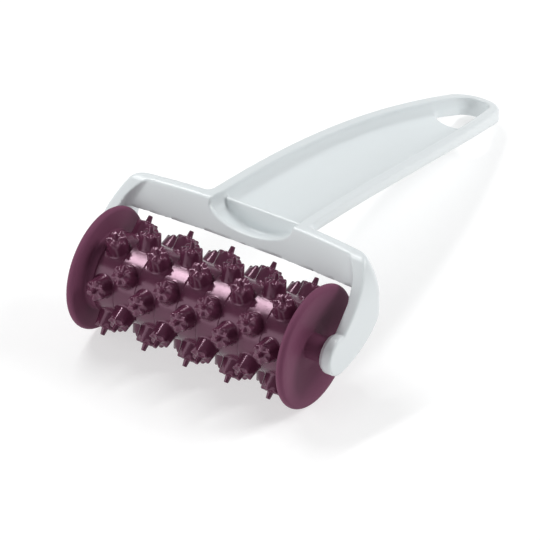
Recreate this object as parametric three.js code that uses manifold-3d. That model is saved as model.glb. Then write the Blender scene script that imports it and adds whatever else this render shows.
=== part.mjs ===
// Dough docker: a hand roller whose staggered, toothed studs prick rolled dough.
// It lies on its two end discs and the loop of its handle, hollow side of the handle up.
// Millimetres, +Z up. X runs along the axle and +Y from the roller to the handle's loop.
// The origin is on the table, under the middle of the tool's box.

import * as THREE from 'three';
import { mergeVertices } from 'three/addons/utils/BufferGeometryUtils.js';
import Module from 'manifold-3d';

// Clearances
const FIT_GAP = 0.3;              // between pieces that are pushed together
const RUNNING_GAP = 0.35;         // between pieces that turn on each other
const ROLLER_CLEARANCE = 1;       // between the roller and the crossbar
const CUT_MARGIN = 1;             // how far a cut runs past the face it opens

// Rings of studs
const RING_COUNT = 9;
const DRUM_DIAMETER = 29.4;       // smooth surface between the studs
const STUDS_PER_RING = 6;
const STUD_TURN = 45;             // degrees from +Y to the first stud, before a ring is turned over
const STUD_DIAMETER = 8;
const STUD_LAND = 0.25;           // drum surface left on each side of a stud
const STUD_HEIGHT = 4.2;          // from the drum's surface to the floor of the crown
const STUD_ROOT = 1;              // how deep the stud's foot starts below the drum's surface
const TEETH_PER_STUD = 6;
const TOOTH_HEIGHT = 1.3;
const TOOTH_NOTCH = 0.75;         // depth of the flutes between the teeth
const PIN_DIAMETER = 2.2;
const PIN_TIP_DIAMETER = 1;
const PIN_HEIGHT = 3.6;           // from the crown's floor to the point

// End discs
const DISC_DIAMETER = 46;
const DISC_THICKNESS = 2.6;
const DISC_EDGE_ROUND = 1.1;
const DISC_DISH = 0.6;            // how far the outer face is hollowed
const DISC_RIM_WIDTH = 3.2;       // raised edge round the dish
const DISH_FLAT_SHARE = 0.6;      // share of the dish, from the hub outwards, that is flat
const SPACER_LENGTH = 3.4;        // step that carries the drum's surface on to the disc
const HUB_DIAMETER = 12;
const RIGHT_HUB_LENGTH = 4.3;     // the roller sits nearer to the left arm, as its left collar is shorter
const LEFT_HUB_LENGTH = 1.3;

// Core and axle
const CORE_ACROSS_FLATS = 18;
const CORE_BORE = 9;
const CORE_SOCKET_DEPTH = 2.8;    // how far the core enters each disc
const AXLE_DIAMETER = 5;
const AXLE_CHAMFER = 0.5;
const AXLE_SOCKET_DEPTH = 3.2;    // how far the axle enters each eye

// Yoke: crossbar and arms
const ARM_THICKNESS = 4.2;
const EYE_DIAMETER = 14.6;
const EYE_STEP = 0.9;             // how far the eye stands in from the arm, against the hub
const EYE_CHAMFER = 0.7;
const CROSSBAR_BOTTOM = 15.9;     // height of its lower edge above the axle
const CROSSBAR_HEIGHT = 9.8;
const CROSSBAR_BOW = 1.6;         // how far the middle of its lower edge stands back
const CROSSBAR_LEAN_END = 4.6;    // how far its upper edge stands back from the lower one, at the ends
const CROSSBAR_LEAN_MIDDLE = 6.6;
const CORNER_RADIUS = 3.5;        // from crossbar to arm, on the inside and on the outside
const OUTER_CORNER_RADIUS = 4.5;
const SHOULDER_START = 11;        // height above the axle from which the arms curve in
const SHOULDER_RADIUS = 24;
const BACK_DRAFT = 1;             // how far the back leans out from the top down to the arms' back corners
const ARM_BACK_HEIGHT = 11;       // height of those corners above the axle
const ARM_BELLY = 13;             // pull of the arm's round lower edge
const ARM_FRONT_HEIGHT = 5;       // height of the arm's front edge over the axle

// Handle
const HANDLE_LENGTH = 181.8;       // from the axle to the end of the loop
const HANDLE_WIDTH = 41.8;
const HANDLE_TAPER = 0.6;         // share of the width lost at the end
const HANDLE_TAPER_POWER = 3.35;
const HANDLE_SLOPE = 0.59;        // share of the drop from crossbar to loop that is straight, not arched
const ROOT_DEPTH = 11.8;          // depth of the hull at the crossbar and at the loop
const LOOP_DEPTH = 9.2;
const HULL_EDGE = 2.8;            // upright band along the hull's outer edge, and its height at the loop
const LOOP_EDGE = 5;
const LOOP_EDGE_POWER = 6;
const HULL_WALL = 2.4;
const RIM_WIDTH = 4;
const TROUGH_EDGE = 1.4;          // upright step from the rim into the trough
const MOUTH_FLARE = 2.6;          // extra half width where the trough opens over the crossbar
const MOUTH_LENGTH = 9;
const DIP_FLOOR = 3;              // from the crossbar's lower edge to the lowest point of its dip
const RIB_SETBACK = 7.3;          // from the crossbar's upper edge to the rib across the trough
const RIB_THICKNESS = 1.8;
const RIB_DROP = 2.9;             // from the rim to the top of the rib
const TIP_ROUND = 10;             // length of the loop's round end
const LOOP_OPENING_LENGTH = 20;
const LOOP_OPENING_INSET = 0.5;   // ledge left round the opening
const LOOP_OPENING_ROUND = 6;     // corners at the opening's wide end
const REST_FLAT_DEPTH = 1.3;      // how much is taken off the loop where it rests

// Steps round and along the curved forms
const OPENING_CORNER_STEPS = 3;
const DISC_STEPS = 36;
const RING_STEPS = 24;
const ROD_STEPS = 16;
const HULL_STEPS = 14;
const TIP_STEPS = 6;
const ARC_STEPS = 10;
const CROSSBAR_STEPS = 8;
const CORNER_STEPS = 5;
const CROSSBAR_LEVELS = 4;
const ARM_STEPS = 14;
const EYE_STEPS = 28;
const LAST_TURN = 0.48 * Math.PI; // a round end stops just short of its point

// Places worked out from the sizes, with the axle at Y = 0 and Z = 0
const drumRadius = DRUM_DIAMETER / 2;
const discRadius = DISC_DIAMETER / 2;
const eyeRadius = EYE_DIAMETER / 2;
const axleRadius = AXLE_DIAMETER / 2;
const crownRadius = drumRadius + STUD_HEIGHT;
const pinReach = crownRadius + PIN_HEIGHT;
const rollerReach = Math.max(discRadius, pinReach);
const ringWidth = STUD_DIAMETER + 2 * STUD_LAND;
const ringPitch = ringWidth + FIT_GAP;
const stackHalf = ((RING_COUNT - 1) * ringPitch + ringWidth) / 2;
const discInner = stackHalf + FIT_GAP + SPACER_LENGTH;
const discOuter = discInner + DISC_THICKNESS;
const rollerShift = (LEFT_HUB_LENGTH - RIGHT_HUB_LENGTH) / 2;
const eyeInner = discOuter + (LEFT_HUB_LENGTH + RIGHT_HUB_LENGTH) / 2 + RUNNING_GAP;
const armInner = eyeInner + EYE_STEP;
const armOuter = armInner + ARM_THICKNESS;
const crossbarTop = CROSSBAR_BOTTOM + CROSSBAR_HEIGHT;
const crossbarEnd = armInner - CORNER_RADIUS;
const crossbarEndY = Math.sqrt((rollerReach + ROLLER_CLEARANCE) ** 2 - CROSSBAR_BOTTOM ** 2);
const crossbarMiddleY = crossbarEndY + CROSSBAR_BOW;
const mouthStart = crossbarMiddleY + ARM_THICKNESS;
const handleRoot = crossbarMiddleY + CROSSBAR_LEAN_MIDDLE;
const tableHeight = -rollerReach;
const tipRimHeight = tableHeight + LOOP_DEPTH - REST_FLAT_DEPTH;

const frameMaterial = new THREE.MeshStandardMaterial({ color: 0xdfe6e8, roughness: 0.42, metalness: 0 });
const rollerMaterial = new THREE.MeshStandardMaterial({ color: 0x5e3450, roughness: 0.34, metalness: 0 });
const axleMaterial = new THREE.MeshStandardMaterial({ color: 0xb9bdc0, roughness: 0.3, metalness: 1 });

const wasm = await Module();
wasm.setup();

// A closed geometry as a solid that can be joined and cut
function solid(geometry) {
  const bare = geometry.clone();
  bare.deleteAttribute('normal');
  bare.deleteAttribute('uv');
  const merged = mergeVertices(bare, 1e-4);
  const vertProperties = Float32Array.from(merged.attributes.position.array);
  const triVerts = Uint32Array.from(merged.index.array);
  return new wasm.Manifold(new wasm.Mesh({ numProp: 3, vertProperties, triVerts }));
}

function geometryOf(body) {
  const mesh = body.getMesh();
  const geometry = new THREE.BufferGeometry();
  geometry.setAttribute('position', new THREE.BufferAttribute(mesh.vertProperties, 3));
  geometry.setIndex(new THREE.BufferAttribute(mesh.triVerts, 1));
  return geometry;
}

// A closed body through rings of points that all have the same count and each bound a convex face
function loft(rings) {
  const count = rings[0].length;
  const positions = rings.flat().flatMap((point) => [point.x, point.y, point.z]);
  const index = [];
  for (let ring = 0; ring + 1 < rings.length; ring += 1) {
    for (let i = 0; i < count; i += 1) {
      const a = ring * count + i;
      const b = ring * count + (i + 1) % count;
      index.push(a, b, b + count, a, b + count, a + count);
    }
  }
  const last = (rings.length - 1) * count;
  for (let i = 1; i + 1 < count; i += 1) {
    index.push(0, i + 1, i);
    index.push(last, last + i, last + i + 1);
  }
  const geometry = new THREE.BufferGeometry();
  geometry.setAttribute('position', new THREE.Float32BufferAttribute(positions, 3));
  geometry.setIndex(index);
  return geometry;
}

// A profile of (radius, along the axle) points turned about the X axis
function turned(profile, steps) {
  const points = profile.map(([radius, along]) => new THREE.Vector2(radius, along));
  return new THREE.LatheGeometry(points, steps).rotateZ(-Math.PI / 2);
}

// A hexagonal bar along X, centred on the origin, with corners at +Z and -Z
function hexagonBar(acrossFlats, length) {
  const corner = acrossFlats / Math.sqrt(3);
  return new THREE.CylinderGeometry(corner, corner, length, 6).rotateZ(Math.PI / 2);
}

function roundBar(radius, length, steps = ROD_STEPS) {
  return new THREE.CylinderGeometry(radius, radius, length, steps).rotateZ(Math.PI / 2);
}

function blend(from, to, share) {
  return from + (to - from) * share;
}

function smooth(share) {
  return share * share * (3 - 2 * share);
}

// One stud, standing along +Y with its foot sunk into the drum: a fluted boss, a crown of teeth
// round its edge, and a tapered pin rising from the crown's floor.
function studGeometry() {
  const outer = STUD_DIAMETER / 2;
  const corners = TEETH_PER_STUD * 2;
  const positions = [];
  const index = [];
  const ringAt = (count, radius, height) => {
    const first = positions.length / 3;
    for (let i = 0; i < count; i += 1) {
      const turn = (i / count) * 2 * Math.PI;
      const isTooth = i % 2 === 0 || count !== corners;
      const reach = isTooth ? radius : radius - TOOTH_NOTCH;
      const level = count === corners && !isTooth && height > crownRadius ? crownRadius : height;
      positions.push(reach * Math.sin(turn), level, reach * Math.cos(turn));
    }
    return first;
  };
  const foot = ringAt(corners, outer, drumRadius - STUD_ROOT);
  const crown = ringAt(corners, outer, crownRadius + TOOTH_HEIGHT);
  const pinFoot = ringAt(TEETH_PER_STUD, PIN_DIAMETER / 2, crownRadius);
  const pinTop = ringAt(TEETH_PER_STUD, PIN_TIP_DIAMETER / 2, pinReach);
  for (let i = 0; i < corners; i += 1) {
    const next = (i + 1) % corners;
    index.push(foot + i, foot + next, crown + next, foot + i, crown + next, crown + i);
  }
  for (let i = 0; i < TEETH_PER_STUD; i += 1) {
    const next = (i + 1) % TEETH_PER_STUD;
    const tooth = crown + 2 * i;
    const notch = tooth + 1;
    const nextTooth = crown + 2 * next;
    index.push(tooth, notch, pinFoot + i, notch, pinFoot + next, pinFoot + i);
    index.push(notch, nextTooth, pinFoot + next);
    index.push(pinFoot + i, pinFoot + next, pinTop + next, pinFoot + i, pinTop + next, pinTop + i);
  }
  for (let i = 1; i + 1 < corners; i += 1) {
    index.push(foot, foot + i + 1, foot + i);
  }
  for (let i = 1; i + 1 < TEETH_PER_STUD; i += 1) {
    index.push(pinTop, pinTop + i, pinTop + i + 1);
  }
  const geometry = new THREE.BufferGeometry();
  geometry.setAttribute('position', new THREE.Float32BufferAttribute(positions, 3));
  geometry.setIndex(index);
  return geometry;
}

// One ring: a band of the drum with a hexagonal bore and six studs. The studs sit a quarter pitch
// off the hexagon's flats, so turning every second ring over staggers them by half a pitch.
function ringGeometry() {
  const half = ringWidth / 2;
  const band = solid(turned([[0, -half], [drumRadius, -half], [drumRadius, half], [0, half]], RING_STEPS));
  let ring = band;
  for (let i = 0; i < STUDS_PER_RING; i += 1) {
    const angle = THREE.MathUtils.degToRad(STUD_TURN) + (i / STUDS_PER_RING) * 2 * Math.PI;
    ring = ring.add(solid(studGeometry().rotateX(angle)));
  }
  const bore = solid(hexagonBar(CORE_ACROSS_FLATS + 2 * FIT_GAP, 2 * ringWidth));
  return geometryOf(ring.subtract(bore));
}

function coreGeometry() {
  const length = 2 * (discInner - SPACER_LENGTH - FIT_GAP + CORE_SOCKET_DEPTH);
  const bar = solid(hexagonBar(CORE_ACROSS_FLATS, length));
  return geometryOf(bar.subtract(solid(roundBar(CORE_BORE / 2, 2 * length))));
}

// Right end disc, along +X: a step that meets the last ring, a dished plate with a round edge,
// and a collar that runs against the arm's eye. The core's hexagon enters it from inside.
function discGeometry(hubLength) {
  const hubEnd = discOuter + hubLength;
  const bore = axleRadius + RUNNING_GAP;
  const hubRadius = HUB_DIAMETER / 2;
  const round = Math.min(DISC_EDGE_ROUND, 0.45 * DISC_THICKNESS);
  const eased = round * (1 - Math.SQRT1_2);
  const dishRadius = discRadius - DISC_RIM_WIDTH;
  const profile = [
    [bore, discInner - SPACER_LENGTH],
    [drumRadius, discInner - SPACER_LENGTH],
    [drumRadius, discInner],
    [discRadius - round, discInner],
    [discRadius - eased, discInner + eased],
    [discRadius, discInner + round],
    [discRadius, discOuter - round],
    [discRadius - eased, discOuter - eased],
    [discRadius - round, discOuter],
    [dishRadius, discOuter],
    [blend(hubRadius, dishRadius, DISH_FLAT_SHARE), discOuter - DISC_DISH],
    [hubRadius, discOuter - DISC_DISH],
    [hubRadius, hubEnd],
    [bore, hubEnd],
    [bore, discInner - SPACER_LENGTH],
  ];
  const disc = solid(turned(profile, DISC_STEPS));
  const socket = hexagonBar(CORE_ACROSS_FLATS + 2 * FIT_GAP, 2 * (CORE_SOCKET_DEPTH + FIT_GAP));
  return geometryOf(disc.subtract(solid(socket.translate(discInner - SPACER_LENGTH, 0, 0))));
}

function axleGeometry() {
  const half = eyeInner + AXLE_SOCKET_DEPTH - FIT_GAP;
  const chamfer = Math.min(AXLE_CHAMFER, axleRadius / 2);
  return turned([
    [0, -half],
    [axleRadius - chamfer, -half],
    [axleRadius, chamfer - half],
    [axleRadius, half - chamfer],
    [axleRadius - chamfer, half],
    [0, half],
  ], ROD_STEPS);
}

// Inner lower edge of the crossbar at a distance from its middle, and the lean of its face there
function crossbarY(x) {
  return crossbarMiddleY - CROSSBAR_BOW * (x / crossbarEnd) ** 2;
}

function crossbarLean(x) {
  return blend(CROSSBAR_LEAN_MIDDLE, CROSSBAR_LEAN_END, Math.min(1, (x / crossbarEnd) ** 2));
}

// How far the arms stand in from their widest at a height, as they curve towards the crossbar
function shoulder(height) {
  const rise = THREE.MathUtils.clamp(height - SHOULDER_START, 0, SHOULDER_RADIUS);
  return SHOULDER_RADIUS - Math.sqrt(SHOULDER_RADIUS ** 2 - rise ** 2);
}

// Outline at a height, seen from above: cut off in front, arms at the sides, the crossbar's bow behind
function yokeOutline(height, halfWidth, radius, backAt) {
  const half = halfWidth - shoulder(height);
  const cornerX = half - radius;
  const cornerY = backAt(cornerX) - radius;
  const right = [new THREE.Vector3(half, -eyeRadius - CUT_MARGIN, height)];
  for (let i = 0; i <= CORNER_STEPS; i += 1) {
    const turn = (i / CORNER_STEPS) * Math.PI / 2;
    const x = cornerX + radius * Math.cos(turn);
    right.push(new THREE.Vector3(x, cornerY + radius * Math.sin(turn), height));
  }
  for (let i = 1; i < CROSSBAR_STEPS; i += 1) {
    const x = cornerX * (1 - i / CROSSBAR_STEPS);
    right.push(new THREE.Vector3(x, backAt(x), height));
  }
  const left = right.slice().reverse().map((point) => new THREE.Vector3(-point.x, point.y, height));
  return [...right, new THREE.Vector3(0, backAt(0), height), ...left];
}

// A block with that outline, from below the eyes to above the crossbar
function yokeBlock(margin, halfWidth, radius, backAt) {
  const levels = [-eyeRadius - margin, ARM_BACK_HEIGHT];
  for (let i = 0; i <= CROSSBAR_LEVELS; i += 1) {
    levels.push(CROSSBAR_BOTTOM + CROSSBAR_HEIGHT * (i / CROSSBAR_LEVELS));
  }
  levels.push(crossbarTop + margin);
  return solid(loft(levels.map((height) => (
    yokeOutline(height, halfWidth, radius, (x) => backAt(x, height))
  ))));
}

// Arm and crossbar as seen from the side, drawn out along X
function yokeSides() {
  const frontY = crossbarEndY + CROSSBAR_LEAN_END;
  const backY = frontY + ARM_THICKNESS + BACK_DRAFT;
  const farY = handleRoot + HANDLE_WIDTH;
  const belly = new THREE.CubicBezierCurve(
    new THREE.Vector2(0, -eyeRadius),
    new THREE.Vector2(ARM_BELLY, -eyeRadius),
    new THREE.Vector2(backY, 0),
    new THREE.Vector2(backY, ARM_BACK_HEIGHT),
  );
  const outline = [
    ...belly.getPoints(ARM_STEPS),
    new THREE.Vector2(backY, CROSSBAR_BOTTOM),
    new THREE.Vector2(farY, CROSSBAR_BOTTOM),
    new THREE.Vector2(farY, crossbarTop),
    new THREE.Vector2(frontY, crossbarTop),
    new THREE.Vector2(0, ARM_FRONT_HEIGHT),
    new THREE.Vector2(-eyeRadius / 2, 0),
  ];
  const length = 2 * (armOuter + CUT_MARGIN);
  const bar = new THREE.ExtrudeGeometry(new THREE.Shape(outline), { depth: length, bevelEnabled: false });
  bar.translate(0, 0, -length / 2);
  const alongX = new THREE.Matrix4().makeBasis(
    new THREE.Vector3(0, 1, 0), new THREE.Vector3(0, 0, 1), new THREE.Vector3(1, 0, 0),
  );
  return solid(bar.applyMatrix4(alongX)).add(solid(roundBar(eyeRadius, length, EYE_STEPS)));
}

// The yoke is a curved band, open in front, trimmed to the side view. Under the crossbar only its arms stay.
function yokeSolid() {
  const face = (x, height) => {
    const share = Math.max(0, height - CROSSBAR_BOTTOM) / CROSSBAR_HEIGHT;
    return crossbarY(x) + crossbarLean(x) * share;
  };
  const back = (x, height) => {
    const share = Math.min(1, (crossbarTop - height) / (crossbarTop - ARM_BACK_HEIGHT));
    return crossbarY(x) + crossbarLean(x) + ARM_THICKNESS + BACK_DRAFT * share;
  };
  const outside = yokeBlock(CUT_MARGIN, armOuter, OUTER_CORNER_RADIUS, back);
  const inside = yokeBlock(2 * CUT_MARGIN, armInner, CORNER_RADIUS, face);
  const under = new THREE.BoxGeometry(2 * armInner, 2 * HANDLE_WIDTH, 2 * CROSSBAR_BOTTOM);
  under.translate(0, HANDLE_WIDTH, 0);
  return outside.subtract(inside).intersect(yokeSides()).subtract(solid(under));
}

// Share of the way along the handle, and the rim's height and half width there
function handleShare(y) {
  return THREE.MathUtils.clamp((y - handleRoot) / (HANDLE_LENGTH - handleRoot), 0, 1);
}

function rimHeight(y) {
  const u = handleShare(y);
  return blend(crossbarTop, tipRimHeight, HANDLE_SLOPE * u + (1 - HANDLE_SLOPE) * u ** 2);
}

function rimHalfWidth(y) {
  return (HANDLE_WIDTH / 2) * (1 - HANDLE_TAPER * handleShare(y) ** HANDLE_TAPER_POWER);
}

// Half width with the round end of the loop, for an outline set in from the rim's outer edge
function outlineHalfWidth(y, inset) {
  const end = HANDLE_LENGTH - inset;
  const roundStart = HANDLE_LENGTH - TIP_ROUND;
  const into = THREE.MathUtils.clamp((y - roundStart) / (end - roundStart), 0, 1);
  return (rimHalfWidth(y) - inset) * Math.sqrt(1 - into * into);
}

// Share of the mouth that is still ahead at a place, going towards the crossbar
function mouthShare(y) {
  return smooth(THREE.MathUtils.clamp((handleRoot + MOUTH_LENGTH - y) / MOUTH_LENGTH, 0, 1));
}

// Depth of the hull below its rim. It gets shallower over the mouth, to end level with the crossbar.
function hullDepth(y) {
  const depth = blend(ROOT_DEPTH, LOOP_DEPTH, handleShare(y));
  return depth - (ROOT_DEPTH - CROSSBAR_HEIGHT) * mouthShare(y);
}

// Stations along an outline whose round end is set in from the handle's end
function handleStations(start, inset) {
  const roundStart = HANDLE_LENGTH - TIP_ROUND;
  const end = HANDLE_LENGTH - inset;
  const stations = [];
  for (let i = 0; i <= HULL_STEPS; i += 1) {
    stations.push(blend(start, roundStart, i / HULL_STEPS));
  }
  for (let i = 1; i <= TIP_STEPS; i += 1) {
    stations.push(roundStart + (end - roundStart) * Math.sin((i / TIP_STEPS) * LAST_TURN));
  }
  return stations;
}

// Section of a boat-shaped form: flat on top, upright along its edges, round underneath
function boatSection(y, halfWidth, top, edge, bottom) {
  const points = [];
  points.push(new THREE.Vector3(halfWidth, y, top));
  for (let i = 0; i <= ARC_STEPS; i += 1) {
    const turn = Math.PI * (i / ARC_STEPS);
    points.push(new THREE.Vector3(halfWidth * Math.cos(turn), y, edge - (edge - bottom) * Math.sin(turn)));
  }
  points.push(new THREE.Vector3(-halfWidth, y, top));
  return points;
}

function hullSolid() {
  const rings = handleStations(mouthStart, 0).map((y) => {
    const top = rimHeight(y);
    const edge = top - blend(HULL_EDGE, LOOP_EDGE, handleShare(y) ** LOOP_EDGE_POWER);
    return boatSection(y, outlineHalfWidth(y, 0), top, edge, top - hullDepth(y));
  });
  return solid(loft(rings));
}

// The space inside the handle, which flares towards the crossbar
function troughSolid() {
  const above = HULL_EDGE + ROOT_DEPTH;
  const rings = handleStations(mouthStart, RIM_WIDTH).map((y) => {
    const halfWidth = outlineHalfWidth(y, RIM_WIDTH) + MOUTH_FLARE * mouthShare(y);
    const rim = rimHeight(y);
    return boatSection(y, halfWidth, rim + above, rim - TROUGH_EDGE, rim - hullDepth(y) + HULL_WALL);
  });
  return solid(loft(rings));
}

// The dip in the crossbar in front of the trough
function dipSolid() {
  const halfWidth = outlineHalfWidth(mouthStart, RIM_WIDTH) + MOUTH_FLARE;
  const top = crossbarTop + ROOT_DEPTH;
  const edge = crossbarTop - TROUGH_EDGE;
  const rings = [0, mouthStart + CUT_MARGIN].map((y) => (
    boatSection(y, halfWidth, top, edge, CROSSBAR_BOTTOM + DIP_FLOOR)
  ));
  return solid(loft(rings));
}

// Everything in front of the crossbar's inner face, to trim the hull flush with it
function frontSolid() {
  const reach = handleRoot + crossbarTop;
  const rings = [];
  for (let i = -CROSSBAR_STEPS; i <= CROSSBAR_STEPS; i += 1) {
    const x = crossbarEnd * (i / CROSSBAR_STEPS);
    const slant = crossbarLean(x) / CROSSBAR_HEIGHT;
    const faceY = (height) => crossbarY(x) + slant * (height - CROSSBAR_BOTTOM);
    rings.push([
      new THREE.Vector3(x, -reach, -reach),
      new THREE.Vector3(x, faceY(-discRadius), -discRadius),
      new THREE.Vector3(x, faceY(2 * crossbarTop), 2 * crossbarTop),
      new THREE.Vector3(x, -reach, 2 * crossbarTop),
    ]);
  }
  return solid(loft(rings));
}

// Upright opening inside the loop, following the trough's outline
function loopOpening() {
  const inset = RIM_WIDTH + LOOP_OPENING_INSET;
  const end = HANDLE_LENGTH - inset;
  const start = end - LOOP_OPENING_LENGTH;
  const sideStart = start + LOOP_OPENING_ROUND;
  const half = [];
  for (let i = 0; i < OPENING_CORNER_STEPS; i += 1) {
    const turn = (i / OPENING_CORNER_STEPS) * Math.PI / 2;
    const x = outlineHalfWidth(sideStart, inset) - LOOP_OPENING_ROUND * (1 - Math.sin(turn));
    half.push(new THREE.Vector2(x, sideStart - LOOP_OPENING_ROUND * Math.cos(turn)));
  }
  for (let i = 0; i < TIP_STEPS; i += 1) {
    const y = blend(sideStart, end, Math.sin((i / TIP_STEPS) * Math.PI / 2));
    half.push(new THREE.Vector2(outlineHalfWidth(y, inset), y));
  }
  const outline = [...half, new THREE.Vector2(0, end)];
  outline.push(...half.slice().reverse().map((point) => new THREE.Vector2(-point.x, point.y)));
  const height = 2 * (DISC_DIAMETER + crossbarTop);
  const shape = new THREE.ExtrudeGeometry(new THREE.Shape(outline), { depth: height, bevelEnabled: false });
  return solid(shape.translate(0, 0, -height / 2));
}

function frameGeometry() {
  const hull = hullSolid().subtract(frontSolid());
  let frame = yokeSolid().add(hull).subtract(troughSolid()).subtract(dipSolid());
  const ribY = handleRoot + RIB_SETBACK;
  const ribTop = rimHeight(ribY) - RIB_DROP;
  const ribSlab = new THREE.BoxGeometry(HANDLE_WIDTH, RIB_THICKNESS, ROOT_DEPTH);
  const rib = hull.intersect(solid(ribSlab.translate(0, ribY, ribTop - ROOT_DEPTH / 2)));
  frame = frame.add(rib).subtract(loopOpening());
  const bossLength = EYE_STEP + ARM_THICKNESS / 2;
  const boss = roundBar(eyeRadius - EYE_CHAMFER, bossLength, EYE_STEPS);
  const socket = roundBar(axleRadius + FIT_GAP, 2 * AXLE_SOCKET_DEPTH);
  for (const side of [-1, 1]) {
    frame = frame.add(solid(boss.clone().translate(side * (eyeInner + bossLength / 2), 0, 0)));
  }
  for (const side of [-1, 1]) {
    frame = frame.subtract(solid(socket.clone().translate(side * eyeInner, 0, 0)));
  }
  const table = new THREE.BoxGeometry(HANDLE_WIDTH, HANDLE_LENGTH, DISC_DIAMETER);
  frame = frame.subtract(solid(table.translate(0, HANDLE_LENGTH, tableHeight - DISC_DIAMETER / 2)));
  return geometryOf(frame);
}

function named(name, geometry, material) {
  const mesh = new THREE.Mesh(geometry, material);
  mesh.name = name;
  return mesh;
}

const docker = new THREE.Group();
docker.add(named('frame', frameGeometry(), frameMaterial));
docker.add(named('axle', axleGeometry(), axleMaterial));

const roller = new THREE.Group();
roller.position.x = rollerShift;
docker.add(roller);
roller.add(named('roller_core', coreGeometry(), rollerMaterial));
roller.add(named('end_disc_right', discGeometry(RIGHT_HUB_LENGTH), rollerMaterial));
const leftDisc = named('end_disc_left', discGeometry(LEFT_HUB_LENGTH), rollerMaterial);
leftDisc.rotation.z = Math.PI;
roller.add(leftDisc);
const ringShape = ringGeometry();
for (let i = 0; i < RING_COUNT; i += 1) {
  const ring = named(`stud_ring_${i + 1}`, ringShape, rollerMaterial);
  ring.position.x = (i - (RING_COUNT - 1) / 2) * ringPitch;
  ring.rotation.z = i % 2 === 0 ? 0 : Math.PI;
  roller.add(ring);
}

// Stand the tool on Z = 0 with the middle of its box over the origin
const box = new THREE.Box3().setFromObject(docker);
const middle = box.getCenter(new THREE.Vector3());
docker.position.set(-middle.x, -middle.y, -box.min.z);

export default docker;
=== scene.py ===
# Dough docker: staggered rings of toothed studs between two end discs, turning in a white yoke
# on an arched trough handle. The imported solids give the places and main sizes. This script gives
# each piece its moulded surface and finish, the floor, the light and the camera.

import math

import bpy
import numpy as np
from mathutils import Matrix, Vector


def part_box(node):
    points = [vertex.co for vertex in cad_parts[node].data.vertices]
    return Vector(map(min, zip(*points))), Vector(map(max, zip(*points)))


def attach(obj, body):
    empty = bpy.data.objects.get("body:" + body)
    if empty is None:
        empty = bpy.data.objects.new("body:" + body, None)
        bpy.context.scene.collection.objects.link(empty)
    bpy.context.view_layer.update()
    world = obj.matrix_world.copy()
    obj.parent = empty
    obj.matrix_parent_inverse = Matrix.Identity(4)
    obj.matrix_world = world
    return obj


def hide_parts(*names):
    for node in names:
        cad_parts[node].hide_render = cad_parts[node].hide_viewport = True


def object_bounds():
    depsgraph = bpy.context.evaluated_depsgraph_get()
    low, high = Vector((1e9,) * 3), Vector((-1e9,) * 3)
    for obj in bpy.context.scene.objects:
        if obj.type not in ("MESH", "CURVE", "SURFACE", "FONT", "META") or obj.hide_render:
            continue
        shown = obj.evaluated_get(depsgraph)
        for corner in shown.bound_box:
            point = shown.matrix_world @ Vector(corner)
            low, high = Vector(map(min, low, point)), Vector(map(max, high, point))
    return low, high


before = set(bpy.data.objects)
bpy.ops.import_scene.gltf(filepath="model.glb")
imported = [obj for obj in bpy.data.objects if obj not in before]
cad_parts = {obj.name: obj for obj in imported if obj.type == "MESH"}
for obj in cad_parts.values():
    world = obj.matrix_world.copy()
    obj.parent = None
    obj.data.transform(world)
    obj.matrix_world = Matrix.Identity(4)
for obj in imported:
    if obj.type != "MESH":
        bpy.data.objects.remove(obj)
cad_low, cad_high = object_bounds()

MM = 0.001
TINY = 1e-6
SHARP_ANGLE = math.radians(60)

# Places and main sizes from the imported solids, in millimetres, with the axle's middle as zero
axle_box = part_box("axle")
AXLE_MIDDLE = (Vector(axle_box[0]) + Vector(axle_box[1])) / 2
LEFT_DISC, RIGHT_DISC = "end_disc_left", "end_disc_right"
RINGS = sorted(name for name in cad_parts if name.startswith("stud_ring_"))


def box_from_axle(node):
    low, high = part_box(node)
    return (Vector(low) - AXLE_MIDDLE) / MM, (Vector(high) - AXLE_MIDDLE) / MM


axle_high = box_from_axle("axle")[1]
frame_low, frame_high = box_from_axle("frame")
ring_low, ring_high = box_from_axle(RINGS[len(RINGS) // 2])
DISC_RADIUS = box_from_axle(RIGHT_DISC)[1].z
ROLLER_X = (ring_low.x + ring_high.x) / 2
RING_PITCH = (box_from_axle(RINGS[-1])[0].x - box_from_axle(RINGS[0])[0].x) / (len(RINGS) - 1)
AXLE_RADIUS = axle_high.z
ARM_OUTER = frame_high.x
HANDLE_LENGTH = frame_high.y
CROSSBAR_TOP = frame_high.z
TABLE = frame_low.z

# Drum and studs, in millimetres, with heights from the axle
DRUM_RADIUS = 14.7
CORE_ACROSS_FLATS = 18.6
HEX_TURN = math.pi / 3
RING_EDGE = 0.02
RING_SEAM = 0.02
RING_HALF = (RING_PITCH - RING_SEAM) / 2
STUDS_PER_RING = 6
ODD_TURN = math.radians(45)
EVEN_TURN = math.radians(20)
TEETH = 6
FOOT_RADIUS = 4.15
FOOT_FILLET = 0.8
FOOT_SINK = 2.2
FOOT_OVERLAP = 0.06
WAIST_RADIUS = 3.9
WAIST_HEIGHT = 18.3
FLANK_RADIUS_SHARE = 0.6
FLANK_HEIGHT_SHARE = 0.5
TOOTH_RADIUS = 3.85
TOOTH_TOP = 20.3
TOOTH_ROUND = 0.6
VALLEY_RADIUS = 3.5
VALLEY_TOP = 19.6
DOME_TOP = 20.2
DOME_RADIUS = 1.5
PIN_RADIUS = 1.1
PIN_FILLET = 0.35
PIN_TOP_RADIUS = 0.85
PIN_TOP = 22.8
PIN_ROUND = 0.3

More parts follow.
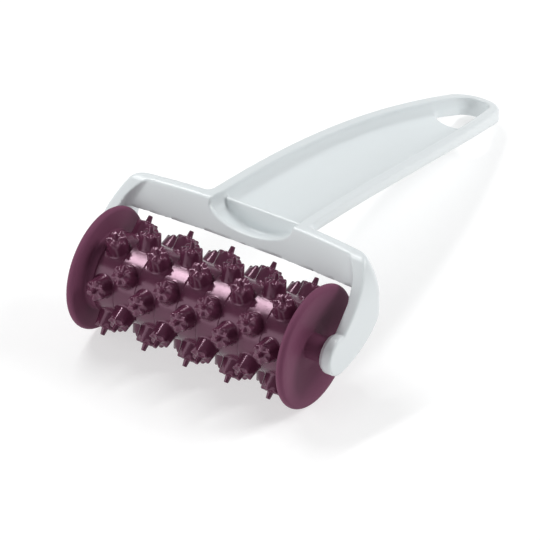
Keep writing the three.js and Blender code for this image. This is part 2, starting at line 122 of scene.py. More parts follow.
# End discs and axle, in millimetres, with the dish's slope as a ratio
DISC_THICKNESS = 3.0
SPACER_LENGTH = 3.0
SPACER_EDGE = 0.2
SPACER_FILLET = 0.8
DISH_BEND = 3.0
DISH_SLOPE = 0.24
DISH_DEPTH = 2.8
HUB_RADIUS = 4.8
HUB_FILLET = 0.4
HUB_EDGE = 0.4
HUB_CLEARANCE = 0.35
DISC_BORE = AXLE_RADIUS + HUB_CLEARANCE
AXLE_EDGE = 0.5

# Yoke, in millimetres
ARM_THICKNESS = 4.2
ARM_INNER = ARM_OUTER - ARM_THICKNESS
EYE_RADIUS = 7.3
EYE_STEP = 0.9
EYE_BOSS_RADIUS = 6.6
EYE_BOSS_EDGE = 0.5
EYE_BOSS_DEPTH = ARM_THICKNESS / 2
EYE_BLEND = 0.5
SOCKET_CLEARANCE = 0.3
SOCKET_RADIUS = AXLE_RADIUS + SOCKET_CLEARANCE
SOCKET_END = axle_high.x + SOCKET_CLEARANCE
CROSSBAR_BOTTOM = 15.5
CROSSBAR_HEIGHT = CROSSBAR_TOP - CROSSBAR_BOTTOM
CROSSBAR_END_Y = 17.98
CROSSBAR_BOW = 1.6
LEAN_END = 4.6
LEAN_MIDDLE = 6.6
CORNER_RADIUS = 3.5
OUTER_CORNER_RADIUS = 4.5
SHOULDER_START = 11.0
SHOULDER_RADIUS = 24.0
BACK_DRAFT = 1.0
ARM_BACK_HEIGHT = 11.0
ARM_FRONT_HEIGHT = 5.0
ARM_TOP_Y = CROSSBAR_END_Y + LEAN_END
ARM_BACK_Y = ARM_TOP_Y + ARM_THICKNESS + BACK_DRAFT
UNDER_FILLET = 2.0
EDGE_ROUND = 0.8
INSIDE_ROUND = 0.35

# Handle, in millimetres, with its taper and slopes as ratios
HANDLE_ROOT = CROSSBAR_END_Y + CROSSBAR_BOW + LEAN_MIDDLE
HANDLE_WIDTH = 41.8
HANDLE_TAPER = 0.6
TAPER_POWER = 3.35
HANDLE_SLOPE = 0.59
ROOT_DEPTH = 11.8
LOOP_DEPTH = 9.2
REST_FLAT_DEPTH = 1.3
TIP_RIM = TABLE + LOOP_DEPTH - REST_FLAT_DEPTH
HULL_EDGE = 2.8
LOOP_EDGE = 5.0
LOOP_EDGE_POWER = 6
HULL_WALL = 2.4
RIM_WIDTH = 4.0
RIM_ROUND = 1.2
TROUGH_EDGE = 1.4
TROUGH_ROUND = 0.9
JOIN_FILLET = 4.0
JOIN_LEAST = 0.1
MOUTH_FLARE = 0.6
MOUTH_LENGTH = 9.0
HULL_START = CROSSBAR_END_Y + CROSSBAR_BOW
HULL_FRONT_LENGTH = 5.0
LIP_THICKNESS = 1.7
POCKET_WALL = 1.2
DIP_HALF = 17.2
DIP_FLOOR = 18.6
DIP_ROUND = 0.35
RIB_Y = HANDLE_ROOT + 7.9
RIB_HALF = 0.9
RIB_DROP = 2.9
RIB_SLOPE = 0.42
LOOP_INSET = 4.5
LOOP_LENGTH = 20.0
LOOP_ROUND = 6.0
TIP_ROUNDS = 12

# Fineness of the frame's net, in millimetres, and of how its points settle on the surface
NET_STEP = 0.5
NET_MARGIN = 3 * NET_STEP
SETTLE_ROUNDS = 4
SETTLE_PROBE = 0.02
SETTLE_LEAST_SLOPE = 0.05
SETTLE_MOVE = 0.4 * NET_STEP

# Numbers of steps round the turned pieces and along their curves
DISC_STEPS = 144
AXLE_STEPS = 64
STUD_STEPS = 48
BAND_STEPS = 192
BAND_COLUMNS = 20
RIM_STEPS = 14
DISH_STEPS = 15
FILLET_STEPS = 5
TOOTH_STEPS = 4
CROWN_STEPS = 4
PIN_FOOT_STEPS = 3

# Camera, fitted to the photograph's 540 by 540 pixels, with distance and sensor in millimetres
IMAGE_SIDE = 540
CAMERA_AZIMUTH = math.radians(34.553)
CAMERA_ELEVATION = math.radians(35.754)
CAMERA_ROLL = math.radians(-1.5)
CAMERA_DISTANCE = 1800
PIXELS_PER_MM = 2.85
ROLLER_PIXEL = (208.8, 306.5)
SENSOR = 36
CLIP_NEAR = 0.05
CLIP_FAR = 20.0

# Studio, in metres
FLOOR_HALF = 3.0
FLOOR_GAP = 0.0002
WORLD_TINT = (0.97, 0.99, 1.0, 1.0)
WORLD_LIGHT = 0.22

# The Mix node's colour sockets, which come after those for numbers and vectors
MIX_SHARE, MIX_FIRST, MIX_SECOND = 0, 6, 7
MIX_COLOUR_OUT = 2


def to_world(points):
    return np.asarray(points, dtype=float) * MM + np.array(AXLE_MIDDLE)


def make_piece(name, points, faces, material, body, nodes):
    """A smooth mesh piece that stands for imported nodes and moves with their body."""
    mesh = bpy.data.meshes.new(name)
    mesh.from_pydata(to_world(points).tolist(), [], [list(face) for face in faces])
    mesh.validate()
    mesh.materials.append(material)
    mesh.shade_smooth()
    mesh.set_sharp_from_angle(angle=SHARP_ANGLE)
    piece = bpy.data.objects.new(name, mesh)
    bpy.context.collection.objects.link(piece)
    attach(piece, body)
    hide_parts(*nodes)


# Shader maths


class Value:
    """A socket in a material, with arithmetic that adds Math nodes."""

    def __init__(self, paint, socket):
        self.paint = paint
        self.socket = socket

    def combine(self, operation, first, second):
        return self.paint.out("ShaderNodeMath", {"operation": operation}, {0: first, 1: second})

    def __add__(self, other):
        return self.combine("ADD", self, other)

    def __radd__(self, other):
        return self.combine("ADD", other, self)

    def __mul__(self, other):
        return self.combine("MULTIPLY", self, other)

    def __rmul__(self, other):
        return self.combine("MULTIPLY", other, self)


class Paint:
    """One material's nodes."""

    def __init__(self, name):
        self.material = bpy.data.materials.new(name)
        self.material.use_nodes = True
        self.tree = self.material.node_tree
        self.tree.nodes.clear()

    def node(self, kind, settings=None, sockets=None):
        made = self.tree.nodes.new(kind)
        for key, value in (settings or {}).items():
            setattr(made, key, value)
        for key, value in (sockets or {}).items():
            if isinstance(value, Value):
                self.tree.links.new(value.socket, made.inputs[key])
            else:
                made.inputs[key].default_value = value
        return made

    def out(self, kind, settings=None, sockets=None, output=0):
        return Value(self, self.node(kind, settings, sockets).outputs[output])

    def noise(self, scale, detail, roughness, stretch=(1.0, 1.0, 1.0)):
        place = self.out("ShaderNodeTexCoord", output="Object")
        stretched = self.out("ShaderNodeMapping", None, {"Vector": place, "Scale": stretch})
        sockets = {"Vector": stretched, "Scale": scale, "Detail": detail, "Roughness": roughness}
        return self.out("ShaderNodeTexNoise", None, sockets, "Fac")

    def tint(self, share, first, second):
        sockets = {MIX_SHARE: share, MIX_FIRST: (*first, 1.0), MIX_SECOND: (*second, 1.0)}
        return self.out("ShaderNodeMix", {"data_type": "RGBA"}, sockets, MIX_COLOUR_OUT)

    def grain(self, height, strength, depth):
        sockets = {"Height": height, "Strength": strength, "Distance": depth}
        return self.out("ShaderNodeBump", None, sockets)

    def finish(self, sockets):
        shader = self.out("ShaderNodeBsdfPrincipled", None, sockets)
        self.node("ShaderNodeOutputMaterial", None, {"Surface": shader})
        return self.material


def frame_plastic():
    """Cool white moulded plastic with a faint flow and a fine satin grain."""
    paint = Paint("cool_white_plastic")
    flow = paint.noise(scale=22.0, detail=2.0, roughness=0.45, stretch=(1.0, 0.35, 1.0))
    grain = paint.noise(scale=1500.0, detail=2.0, roughness=0.6)
    return paint.finish({
        "Base Color": paint.tint(flow, (0.70, 0.745, 0.76), (0.755, 0.79, 0.80)),
        "Roughness": 0.28 + 0.1 * flow + 0.05 * grain,
        "Normal": paint.grain(grain, strength=0.12, depth=0.06 * MM),
        "IOR": 1.49,
        "Coat Weight": 0.12,
        "Coat Roughness": 0.2,
    })


def roller_plastic(name, dark, light, roughness, gloss):
    """Aubergine moulded plastic, satin or glossy, with gloss as its index of refraction."""
    paint = Paint(name)
    flow = paint.noise(scale=60.0, detail=3.0, roughness=0.5)
    grain = paint.noise(scale=1800.0, detail=2.0, roughness=0.5)
    return paint.finish({
        "Base Color": paint.tint(flow, dark, light),
        "Roughness": roughness + 0.1 * flow,
        "Normal": paint.grain(grain, strength=0.1, depth=0.05 * MM),
        "IOR": gloss,
        "Specular Tint": (1.0, 0.66, 0.83, 1.0),
    })


def axle_steel():
    """Drawn steel with fine lines along the rod."""
    paint = Paint("drawn_steel")
    lines = paint.noise(scale=900.0, detail=4.0, roughness=0.6, stretch=(0.02, 1.0, 1.0))
    return paint.finish({
        "Base Color": paint.tint(lines, (0.5, 0.51, 0.52), (0.66, 0.66, 0.66)),
        "Roughness": 0.22 + 0.16 * lines,
        "Normal": paint.grain(lines, strength=0.2, depth=0.04 * MM),
        "Metallic": 1.0,
    })


def floor_paper():
    """Seamless white studio paper."""
    paint = Paint("studio_paper")
    fibres = paint.noise(scale=300.0, detail=3.0, roughness=0.6)
    return paint.finish({
        "Base Color": paint.tint(fibres, (0.48, 0.48, 0.48), (0.52, 0.52, 0.52)),
        "Roughness": 0.85 + 0.1 * fibres,
        "Emission Color": (1.0, 1.0, 1.0, 1.0),
        "Emission Strength": 0.55,
    })


WHITE = frame_plastic()
AUBERGINE = roller_plastic(
    "glossy_aubergine",
    dark=(0.08, 0.019, 0.043),
    light=(0.104, 0.027, 0.057),
    roughness=0.15,
    gloss=1.58,
)
SATIN_AUBERGINE = roller_plastic(
    "satin_aubergine",
    dark=(0.15, 0.048, 0.09),
    light=(0.18, 0.062, 0.112),
    roughness=0.5,
    gloss=1.2,
)
STEEL = axle_steel()


# Frame: an implicit form of distances in millimetres, netted to a mesh


def smooth_max(first, second, width):
    share = np.clip(0.5 + 0.5 * (first - second) / width, 0.0, 1.0)
    return first * share + second * (1 - share) + width * share * (1 - share)


def smooth_min(first, second, width):
    return -smooth_max(-first, -second, width)


def smooth_step(low, high, value):
    share = np.clip((value - low) / (high - low), 0.0, 1.0)
    return share * share * (3 - 2 * share)


def mix(first, second, share):
    return first + (second - first) * share


def bowl(across, width, below, depth):
    """Distance to a round-bottomed channel: upright where below is zero, elliptical under it."""
    low = np.maximum(below, 0.0)
    near = np.sqrt((across / width) ** 2 + (low / depth) ** 2)
    far = np.sqrt((across / width**2) ** 2 + (low / depth**2) ** 2)
    return near * (near - 1) / np.maximum(far, TINY)


def cornered(past_side, past_back, radius):
    """Distance to an outline with a round corner, from the distances past its side and its back."""
    over_side = past_side + radius
    over_back = past_back + radius
    corner = np.hypot(np.maximum(over_side, 0.0), np.maximum(over_back, 0.0))
    return corner + np.minimum(np.maximum(over_side, over_back), 0.0) - radius


def from_end(side):
    """Zero at the crossbar's middle, one at its ends."""
    return np.minimum(1.0, (side / (ARM_INNER - CORNER_RADIUS)) ** 2)


def yoke_outlines(side, y, z):
    """Distances to the yoke's inside and outside, as outlines that change with the height."""
    rise = np.clip(z - SHOULDER_START, 0.0, SHOULDER_RADIUS)
    shoulder = SHOULDER_RADIUS - np.sqrt(SHOULDER_RADIUS**2 - rise**2)
    lean = mix(LEAN_MIDDLE, LEAN_END, from_end(side))
    foot = y - CROSSBAR_END_Y - CROSSBAR_BOW * (1 - from_end(side))
    slant = lean / CROSSBAR_HEIGHT
    face = (foot - slant * np.maximum(z - CROSSBAR_BOTTOM, 0.0)) / np.sqrt(1 + slant**2)
    drop = np.clip((CROSSBAR_TOP - z) / (CROSSBAR_TOP - ARM_BACK_HEIGHT), 0.0, 1.0)
    back = foot - lean - ARM_THICKNESS - BACK_DRAFT * drop
    inside = cornered(side - ARM_INNER + shoulder, face, CORNER_RADIUS)
    outside = cornered(side - ARM_OUTER + shoulder, back, OUTER_CORNER_RADIUS)
    return inside, outside


def yoke_profile(y, z):
    """Distance to the yoke seen from the side: round eye, straight front edge, round belly."""
    rise = CROSSBAR_TOP - ARM_FRONT_HEIGHT
    front = ((z - ARM_FRONT_HEIGHT) * ARM_TOP_Y - y * rise) / math.hypot(ARM_TOP_Y, rise)
    belly = bowl(np.maximum(y, 0.0), ARM_BACK_Y, ARM_BACK_HEIGHT - z, ARM_BACK_HEIGHT + EYE_RADIUS)
    plate = np.maximum(np.maximum(front, np.minimum(belly, CROSSBAR_BOTTOM - z)), -y)
    return smooth_min(plate, np.hypot(y, z) - EYE_RADIUS, EYE_BLEND)


def along_handle(y):
    return np.clip((y - HANDLE_ROOT) / (HANDLE_LENGTH - HANDLE_ROOT), 0.0, 1.0)


def rim_height(y):
    share = along_handle(y)
    return mix(CROSSBAR_TOP, TIP_RIM, HANDLE_SLOPE * share + (1 - HANDLE_SLOPE) * share * share)


def half_width(y):
    return HANDLE_WIDTH / 2 * (1 - HANDLE_TAPER * along_handle(y) ** TAPER_POWER)


def narrowing(y):
    """How much the half width shrinks for each millimetre along the handle."""
    rate = HANDLE_TAPER * TAPER_POWER / (HANDLE_LENGTH - HANDLE_ROOT)
    return HANDLE_WIDTH / 2 * rate * along_handle(y) ** (TAPER_POWER - 1)


def tip_centre():
    """Centre of the loop's round end, where the half width equals the length that is left."""
    centre = HANDLE_LENGTH
    for _ in range(TIP_ROUNDS):
        centre = HANDLE_LENGTH - float(half_width(centre))
    return centre


TIP_CENTRE = tip_centre()


def frame_field(x, y, z):
    """Below zero inside the frame."""
    side = np.abs(x)
    inside, outside = yoke_outlines(side, y, z)
    bar = smooth_max(outside, yoke_profile(y, z), EDGE_ROUND)
    under = smooth_max(side - ARM_INNER, z - CROSSBAR_BOTTOM, UNDER_FILLET)
    bar = smooth_max(bar, -under, EDGE_ROUND)
    # Handle hull, as round sections about a middle line that ends at the loop's centre
    mouth = smooth_step(0.0, MOUTH_LENGTH, HANDLE_ROOT + MOUTH_LENGTH - y)
    front = 1 - np.clip((y - HULL_START) / HULL_FRONT_LENGTH, 0.0, 1.0)
    stop = np.minimum(y - side * narrowing(y), TIP_CENTRE)
    across = np.hypot(side, y - stop)
    width = half_width(stop)
    rim = rim_height(y)
    depth = mix(ROOT_DEPTH, LOOP_DEPTH, along_handle(y)) - (ROOT_DEPTH - CROSSBAR_HEIGHT) * front
    edge = mix(HULL_EDGE, LOOP_EDGE, along_handle(y) ** LOOP_EDGE_POWER)
    hull = bowl(across, width, rim - edge - z, depth - edge)
    fillet = JOIN_LEAST + JOIN_FILLET * smooth_step(CROSSBAR_BOTTOM, CROSSBAR_BOTTOM + JOIN_FILLET, z)
    body = smooth_min(bar, hull, fillet)
    body = smooth_max(body, -inside, INSIDE_ROUND)
    beside = smooth_step(HANDLE_WIDTH / 2, HANDLE_WIDTH / 2 + JOIN_FILLET, side)
    body = smooth_max(body, z - mix(rim, CROSSBAR_TOP, beside), RIM_ROUND)
    # Trough, the pocket in front of its rib, and the dip in the pocket's front wall
    before_rib = 1 - smooth_step(RIB_Y - RIB_HALF, RIB_Y + RIB_HALF, y)
    wall = mix(HULL_WALL, POCKET_WALL, before_rib)
    trough_width = width - RIM_WIDTH + MOUTH_FLARE * mouth
    trough = bowl(across, trough_width, rim - TROUGH_EDGE - z, depth - wall - TROUGH_EDGE)
    trough = smooth_max(trough, LIP_THICKNESS - inside, TROUGH_ROUND)
    body = smooth_max(body, -trough, TROUGH_ROUND)
    dip_edge = CROSSBAR_TOP - TROUGH_EDGE
    dip = bowl(side, DIP_HALF, dip_edge - z, dip_edge - DIP_FLOOR)
    dip = np.maximum(dip, inside - 2 * LIP_THICKNESS)
    body = smooth_max(body, -dip, DIP_ROUND)
    below_rib = np.maximum(rim - RIB_DROP - z, 0.0)
    rib_front = (RIB_Y - RIB_HALF - RIB_SLOPE * below_rib - y) / math.hypot(1.0, RIB_SLOPE)
    rib = np.maximum(rib_front, y - RIB_Y - RIB_HALF)
    rib = smooth_max(rib, z - rim + RIB_DROP, TROUGH_ROUND)
    body = smooth_min(body, np.maximum(rib, hull + HULL_WALL / 2), TROUGH_ROUND)
    # Opening of the loop
    opening_start = HANDLE_LENGTH - LOOP_INSET - LOOP_LENGTH
    opening = smooth_max(across - width + LOOP_INSET, opening_start - y, LOOP_ROUND)
    body = smooth_max(body, -opening, TROUGH_ROUND)
    # Eyes against the hubs, sockets for the axle, and the flat that the loop rests on
    from_axle = np.hypot(y, z)
    boss_middle = ARM_INNER + EYE_BOSS_DEPTH / 2 - EYE_STEP / 2
    boss_half = EYE_BOSS_DEPTH / 2 + EYE_STEP / 2
    boss_end = np.abs(side - boss_middle) - boss_half
    boss = smooth_max(from_axle - EYE_BOSS_RADIUS, boss_end, EYE_BOSS_EDGE)
    body = smooth_min(body, boss, EYE_BOSS_EDGE)
    socket = np.maximum(from_axle - SOCKET_RADIUS, side - SOCKET_END)
    body = smooth_max(body, -socket, EYE_BOSS_EDGE)
    return smooth_max(body, TABLE - z, EYE_BOSS_EDGE)


def net_surface(field, low, high, step):
    """Points and quads of the surface where the field is zero, one point in each crossed cell."""
    counts = [int(math.ceil((end - start) / step)) + 1 for start, end in zip(low, high)]
    axes = [start + step * np.arange(count) for start, count in zip(low, counts)]
    values = field(*np.meshgrid(*axes, indexing="ij"))
    inside = values < 0
    cells_along = [count - 1 for count in counts]
    corners = [np.array((i, j, k)) for i in (0, 1) for j in (0, 1) for k in (0, 1)]
    filled = np.zeros(cells_along, dtype=np.int8)
    for i, j, k in corners:
        filled += inside[i:i + cells_along[0], j:j + cells_along[1], k:k + cells_along[2]]
    crossed = (filled > 0) & (filled < len(corners))
    number = np.full(cells_along, -1)
    number[crossed] = np.arange(int(crossed.sum()))
    cells = np.argwhere(crossed)
    total = np.zeros((len(cells), 3))
    hits = np.zeros(len(cells))
    for corner in corners:
        for axis in range(3):
            if corner[axis]:
                continue
            ahead = corner.copy()
            ahead[axis] = 1
            first = values[tuple((cells + corner).T)]
            second = values[tuple((cells + ahead).T)]
            cut = (first < 0) != (second < 0)
            share = np.where(cut, first / np.where(cut, first - second, 1.0), 0.0)
            point = corner + share[:, None] * (ahead - corner)
            total += np.where(cut[:, None], point, 0.0)
            hits += cut
    points = np.array(low) + step * (cells + total / hits[:, None])
    quads = []
    for axis in range(3):
        near = np.take(inside, np.arange(counts[axis] - 1), axis)
        far = np.take(inside, np.arange(1, counts[axis]), axis)
        at = np.argwhere(near != far)
        aside = np.eye(3, dtype=int)[(axis + 1) % 3]
        above = np.eye(3, dtype=int)[(axis + 2) % 3]
        around = [at, at - aside, at - aside - above, at - above]
        quad = np.stack([number[tuple(cell.T)] for cell in around], axis=1)
        backwards = ~near[tuple(at.T)]
        quad[backwards] = quad[backwards][:, ::-1]
        quads.append(quad)
    return points, np.concatenate(quads)


def settle(field, points):
    """Moves points along the field's slope on to its zero surface."""
    reach = SETTLE_PROBE
    for _ in range(SETTLE_ROUNDS):
        value = field(*points.T)
        slope = np.zeros_like(points)
        for axis in range(3):
            shift = np.zeros(3)
            shift[axis] = reach
            slope[:, axis] = (field(*(points + shift).T) - field(*(points - shift).T)) / (2 * reach)
        move = slope * (value / np.maximum((slope**2).sum(axis=1), SETTLE_LEAST_SLOPE))[:, None]
        length = np.linalg.norm(move, axis=1)
        move *= np.minimum(1.0, SETTLE_MOVE / np.maximum(length, TINY))[:, None]
        points = points - move
    return points


def make_frame():
    margin = Vector((NET_MARGIN, NET_MARGIN, NET_MARGIN))
    points, quads = net_surface(frame_field, frame_low - margin, frame_high + margin, NET_STEP)
    points = settle(frame_field, points)
    make_piece("yoke_and_handle", points, quads, WHITE, "frame", ["frame"])


# Roller


def lathe(profile, steps, closed=False):
    """Points and faces of a profile of (along the axle, radius) turned about X."""
    points = []
    for along, radius in profile:
        for i in range(steps):
            turn = 2 * math.pi * i / steps
            points.append((along, radius * math.cos(turn), radius * math.sin(turn)))
    faces = []
    rows = len(profile)
    for row in range(rows if closed else rows - 1):
        after = (row + 1) % rows
        for i in range(steps):
            j = (i + 1) % steps
            faces.append((row * steps + i, after * steps + i, after * steps + j, row * steps + j))
    if not closed:
        faces.append(tuple(range(steps)))
        faces.append(tuple((rows - 1) * steps + i for i in reversed(range(steps))))
    return points, faces


def arc(centre, radius, start, end, steps):
    """Points of a circular arc, angles in degrees."""
    turns = np.radians(np.linspace(start, end, steps + 1))
    across, up = centre
    return [(across + radius * math.cos(turn), up + radius * math.sin(turn)) for turn in turns]


def dish_depth(radius):
    """How far the disc's outer face lies in: a cone out of the round rim, then a flat floor."""
    inward = DISC_RADIUS - DISC_THICKNESS / 2 - radius
    bent = min(inward, DISH_BEND)
    return min(DISH_SLOPE * (bent * bent / (2 * DISH_BEND) + inward - bent), DISH_DEPTH)


def make_disc(name, node, side):
    """An end disc: spacer step, dished plate with a round edge, and the collar towards the arm."""
    low, high = box_from_axle(node)
    inner, hub_end = (low.x, high.x) if side > 0 else (-high.x, -low.x)
    plate_in = inner + SPACER_LENGTH
    plate_out = plate_in + DISC_THICKNESS
    half = DISC_THICKNESS / 2
    dish_foot = HUB_RADIUS + HUB_FILLET
    dish_floor = plate_out - dish_depth(dish_foot)
    profile = [(inner, DISC_BORE), (inner, DRUM_RADIUS - SPACER_EDGE)]
    profile.append((inner + SPACER_EDGE, DRUM_RADIUS))
    fillet_middle = (plate_in - SPACER_FILLET, DRUM_RADIUS + SPACER_FILLET)
    profile += arc(fillet_middle, SPACER_FILLET, 270, 360, FILLET_STEPS)
    profile += arc((plate_in + half, DISC_RADIUS - half), half, 180, 0, RIM_STEPS)
    for radius in np.linspace(DISC_RADIUS - half, dish_foot, DISH_STEPS + 1)[1:-1]:
        profile.append((plate_out - dish_depth(radius), radius))
    profile += arc((dish_floor + HUB_FILLET, dish_foot), HUB_FILLET, 180, 270, FILLET_STEPS)
    profile += [(hub_end - HUB_EDGE, HUB_RADIUS), (hub_end, HUB_RADIUS - HUB_EDGE), (hub_end, DISC_BORE)]
    points, faces = lathe(profile, DISC_STEPS, closed=True)
    points = np.array(points)
    if side < 0:
        points = points * np.array((-1.0, 1.0, 1.0))
        faces = [face[::-1] for face in faces]
    make_piece(name, points, faces, SATIN_AUBERGINE, "roller", [node])


def make_axle():
    end = axle_high.x
    small = AXLE_RADIUS - AXLE_EDGE
    profile = [(-end, small), (AXLE_EDGE - end, AXLE_RADIUS)]
    profile += [(end - AXLE_EDGE, AXLE_RADIUS), (end, small)]
    points, faces = lathe(profile, AXLE_STEPS)
    make_piece("axle_rod", points, faces, STEEL, "frame", ["axle"])


def stud_rows(turn):
    """Radius and height of one stud's surface from its foot to the pin's tip, at an angle round it.

    Heights of the foot's rows are above the drum's surface, and the others are from the axle.
    """
    lobe = smooth_step(-1.0, 1.0, math.cos(TEETH * turn))
    top = mix(VALLEY_TOP, TOOTH_TOP, lobe)
    side = mix(VALLEY_RADIUS, TOOTH_RADIUS, lobe)
    foot = arc((FOOT_RADIUS + FOOT_FILLET, FOOT_FILLET), FOOT_FILLET, 270, 180, FILLET_STEPS)
    flank_radius = mix(WAIST_RADIUS, side, FLANK_RADIUS_SHARE)
    flank_height = mix(WAIST_HEIGHT, top, FLANK_HEIGHT_SHARE)
    rows = [(WAIST_RADIUS, WAIST_HEIGHT), (flank_radius, flank_height)]
    rows += arc((side - TOOTH_ROUND, top - TOOTH_ROUND), TOOTH_ROUND, 0, 90, TOOTH_STEPS)
    for step in range(1, CROWN_STEPS + 1):
        share = step / CROWN_STEPS
        radius = mix(side - TOOTH_ROUND, DOME_RADIUS, share)
        rows.append((radius, mix(top, DOME_TOP, smooth_step(0.0, 1.0, share))))
    pin_foot = (PIN_RADIUS + PIN_FILLET, DOME_TOP + PIN_FILLET)
    rows += arc(pin_foot, PIN_FILLET, 270, 180, PIN_FOOT_STEPS)
    rows += arc((PIN_TOP_RADIUS - PIN_ROUND, PIN_TOP - PIN_ROUND), PIN_ROUND, 0, 90, TOOTH_STEPS)
    return foot, rows


def stud_surface(angle, steps=STUD_STEPS):
    """Points and faces of one stud, standing out from the drum at an angle from +Y towards +Z."""
    widest = RING_HALF - RING_EDGE
    columns = []
    for i in range(steps):
        turn = 2 * math.pi * i / steps
        foot, rows = stud_rows(turn)
        column = []
        for radius, height in foot:
            x = min(max(radius * math.sin(turn), -widest), widest)
            across = radius * math.cos(turn)
            drum = math.sqrt(DRUM_RADIUS**2 - across * across)
            column.append((x, across, drum + height - FOOT_OVERLAP))
        column.insert(0, (column[0][0], column[0][1], DRUM_RADIUS - FOOT_SINK))
        column += [(radius * math.sin(turn), radius * math.cos(turn), height) for radius, height in rows]
        columns.append(column)
    row_count = len(columns[0])
    points = []
    for row in range(row_count):
        for column in columns:
            x, across, height = column[row]
            y = height * math.cos(angle) - across * math.sin(angle)
            points.append((x, y, height * math.sin(angle) + across * math.cos(angle)))
    faces = []
    for row in range(row_count - 1):
        for i in range(steps):
            j = (i + 1) % steps
            low, high = row * steps, (row + 1) * steps
            faces.append((low + i, low + j, high + j, high + i))
    faces.append(tuple(reversed(range(steps))))
    faces.append(tuple((row_count - 1) * steps + i for i in range(steps)))
    return points, faces


def band_surface(steps=BAND_STEPS, columns=BAND_COLUMNS):
    """Points and faces of the plain band of one ring, with its hexagonal bore."""
    half = RING_HALF
    outer = [(-half, DRUM_RADIUS - RING_EDGE)]
    outer += [(x, DRUM_RADIUS) for x in np.linspace(RING_EDGE - half, half - RING_EDGE, columns + 1)]
    outer += [(half, DRUM_RADIUS - RING_EDGE)]
    # The bore's two rows are turned round first, and then set to the hexagon
    bore_rows = [(half, CORE_ACROSS_FLATS / 2), (-half, CORE_ACROSS_FLATS / 2)]
    points, faces = lathe(bore_rows + outer, steps, closed=True)
    points = np.array(points)
    turns = np.arange(steps) * 2 * math.pi / steps
    from_flat = np.mod(turns + HEX_TURN / 2, HEX_TURN) - HEX_TURN / 2
    bore = CORE_ACROSS_FLATS / 2 / np.cos(from_flat)
    for row in range(len(bore_rows)):
        rows = slice(row * steps, (row + 1) * steps)
        points[rows, 1] = bore * np.cos(turns)
        points[rows, 2] = bore * np.sin(turns)
    return points.tolist(), faces


def loose_object(name, points, faces):
    mesh = bpy.data.meshes.new(name)
    mesh.from_pydata([tuple(point) for point in points], [], faces)
    made = bpy.data.objects.new(name, mesh)
    bpy.context.collection.objects.link(made)
    return made


def ring_surface(first_turn):
    """One ring, its studs joined to its band, with its first stud at an angle from +Y towards +Z."""
    stud_points, stud_faces = [], []
    for i in range(STUDS_PER_RING):
        points, faces = stud_surface(first_turn + 2 * math.pi * i / STUDS_PER_RING)
        first = len(stud_points)
        stud_points += points
        stud_faces += [tuple(first + index for index in face) for face in faces]
    band = loose_object("band", *band_surface())
    studs = loose_object("studs", stud_points, stud_faces)
    join = band.modifiers.new("join", "BOOLEAN")
    join.operation = "UNION"
    join.solver = "EXACT"
    join.object = studs
    joined = band.evaluated_get(bpy.context.evaluated_depsgraph_get()).to_mesh()
    points = np.array([vertex.co[:] for vertex in joined.vertices])
    faces = [tuple(polygon.vertices) for polygon in joined.polygons]
    for made in (band, studs):
        mesh = made.data
        bpy.data.objects.remove(made)
        bpy.data.meshes.remove(mesh)
    return points, faces


def make_rings():
    shapes = [ring_surface(ODD_TURN), ring_surface(EVEN_TURN)]
    for i, node in enumerate(RINGS):
        low, high = box_from_axle(node)
        points, faces = shapes[i % 2]
        placed = points + np.array(((low.x + high.x) / 2, 0.0, 0.0))
        make_piece(f"toothed_{node}", placed, faces, AUBERGINE, "roller", [node])


# Studio


def make_floor():
    half = FLOOR_HALF
    z = cad_low.z - FLOOR_GAP
    corners = [(-half, -half, z), (half, -half, z), (half, half, z), (-half, half, z)]
    mesh = bpy.data.meshes.new("floor")
    mesh.from_pydata(corners, [], [(0, 1, 2, 3)])
    mesh.materials.append(floor_paper())
    floor = bpy.data.objects.new("floor", mesh)
    bpy.context.collection.objects.link(floor)


def soft_light(name, place, width, height, power):
    """A rectangular soft box, in metres and watts, that faces the floor under the part's middle."""
    data = bpy.data.lights.new(name, "AREA")
    data.shape = "RECTANGLE"
    data.size = width
    data.size_y = height
    data.energy = power
    light = bpy.data.objects.new(name, data)
    light.location = place
    light.rotation_euler = (-Vector(place)).to_track_quat("-Z", "Y").to_euler()
    bpy.context.collection.objects.link(light)


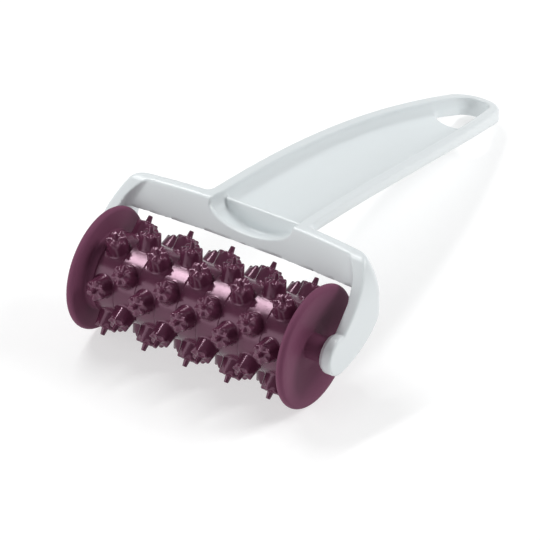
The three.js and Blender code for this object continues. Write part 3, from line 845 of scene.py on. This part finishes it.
def make_light():
    world = bpy.data.worlds.new("studio")
    world.use_nodes = True
    background = world.node_tree.nodes["Background"]
    background.inputs["Color"].default_value = WORLD_TINT
    background.inputs["Strength"].default_value = WORLD_LIGHT
    bpy.context.scene.world = world
    soft_light("top_box", place=(-0.55, 0.1, 1.04), width=0.75, height=0.1, power=6.6)
    soft_light("left_box", place=(-0.36, -0.53, 0.2), width=0.74, height=0.42, power=1.94)
    soft_light("back_box", place=(0.8, 0.6, 0.8), width=0.6, height=0.6, power=9.6)
    bpy.context.scene.view_settings.view_transform = "Standard"


def make_camera():
    """The photograph's view: a long lens, with the roller's middle on its pixel."""
    out = math.cos(CAMERA_ELEVATION)
    rise = math.sin(CAMERA_ELEVATION)
    back = Vector((math.sin(CAMERA_AZIMUTH) * out, -math.cos(CAMERA_AZIMUTH) * out, rise))
    level = (-back).cross(Vector((0.0, 0.0, 1.0))).normalized()
    upright = level.cross(-back)
    right = math.cos(CAMERA_ROLL) * level + math.sin(CAMERA_ROLL) * upright
    up = math.cos(CAMERA_ROLL) * upright - math.sin(CAMERA_ROLL) * level
    off_x = (ROLLER_PIXEL[0] - IMAGE_SIDE / 2) / PIXELS_PER_MM
    off_y = (IMAGE_SIDE / 2 - ROLLER_PIXEL[1]) / PIXELS_PER_MM
    data = bpy.data.cameras.new("camera")
    data.sensor_width = SENSOR
    data.lens = PIXELS_PER_MM * CAMERA_DISTANCE / IMAGE_SIDE * SENSOR
    data.clip_start = CLIP_NEAR
    data.clip_end = CLIP_FAR
    camera = bpy.data.objects.new("camera", data)
    turn = Matrix((right, up, back)).transposed().to_4x4()
    roller_middle = Vector((ROLLER_X, 0.0, 0.0))
    place = roller_middle - off_x * right - off_y * up + CAMERA_DISTANCE * back
    camera.matrix_world = Matrix.Translation(AXLE_MIDDLE + place * MM) @ turn
    bpy.context.collection.objects.link(camera)
    bpy.context.scene.camera = camera


make_camera()
make_frame()
make_axle()
make_disc("smooth_disc_right", RIGHT_DISC, 1)
make_disc("smooth_disc_left", LEFT_DISC, -1)
make_rings()
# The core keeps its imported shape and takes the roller's finish
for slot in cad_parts["roller_core"].material_slots:
    slot.material = AUBERGINE
make_floor()
make_light()
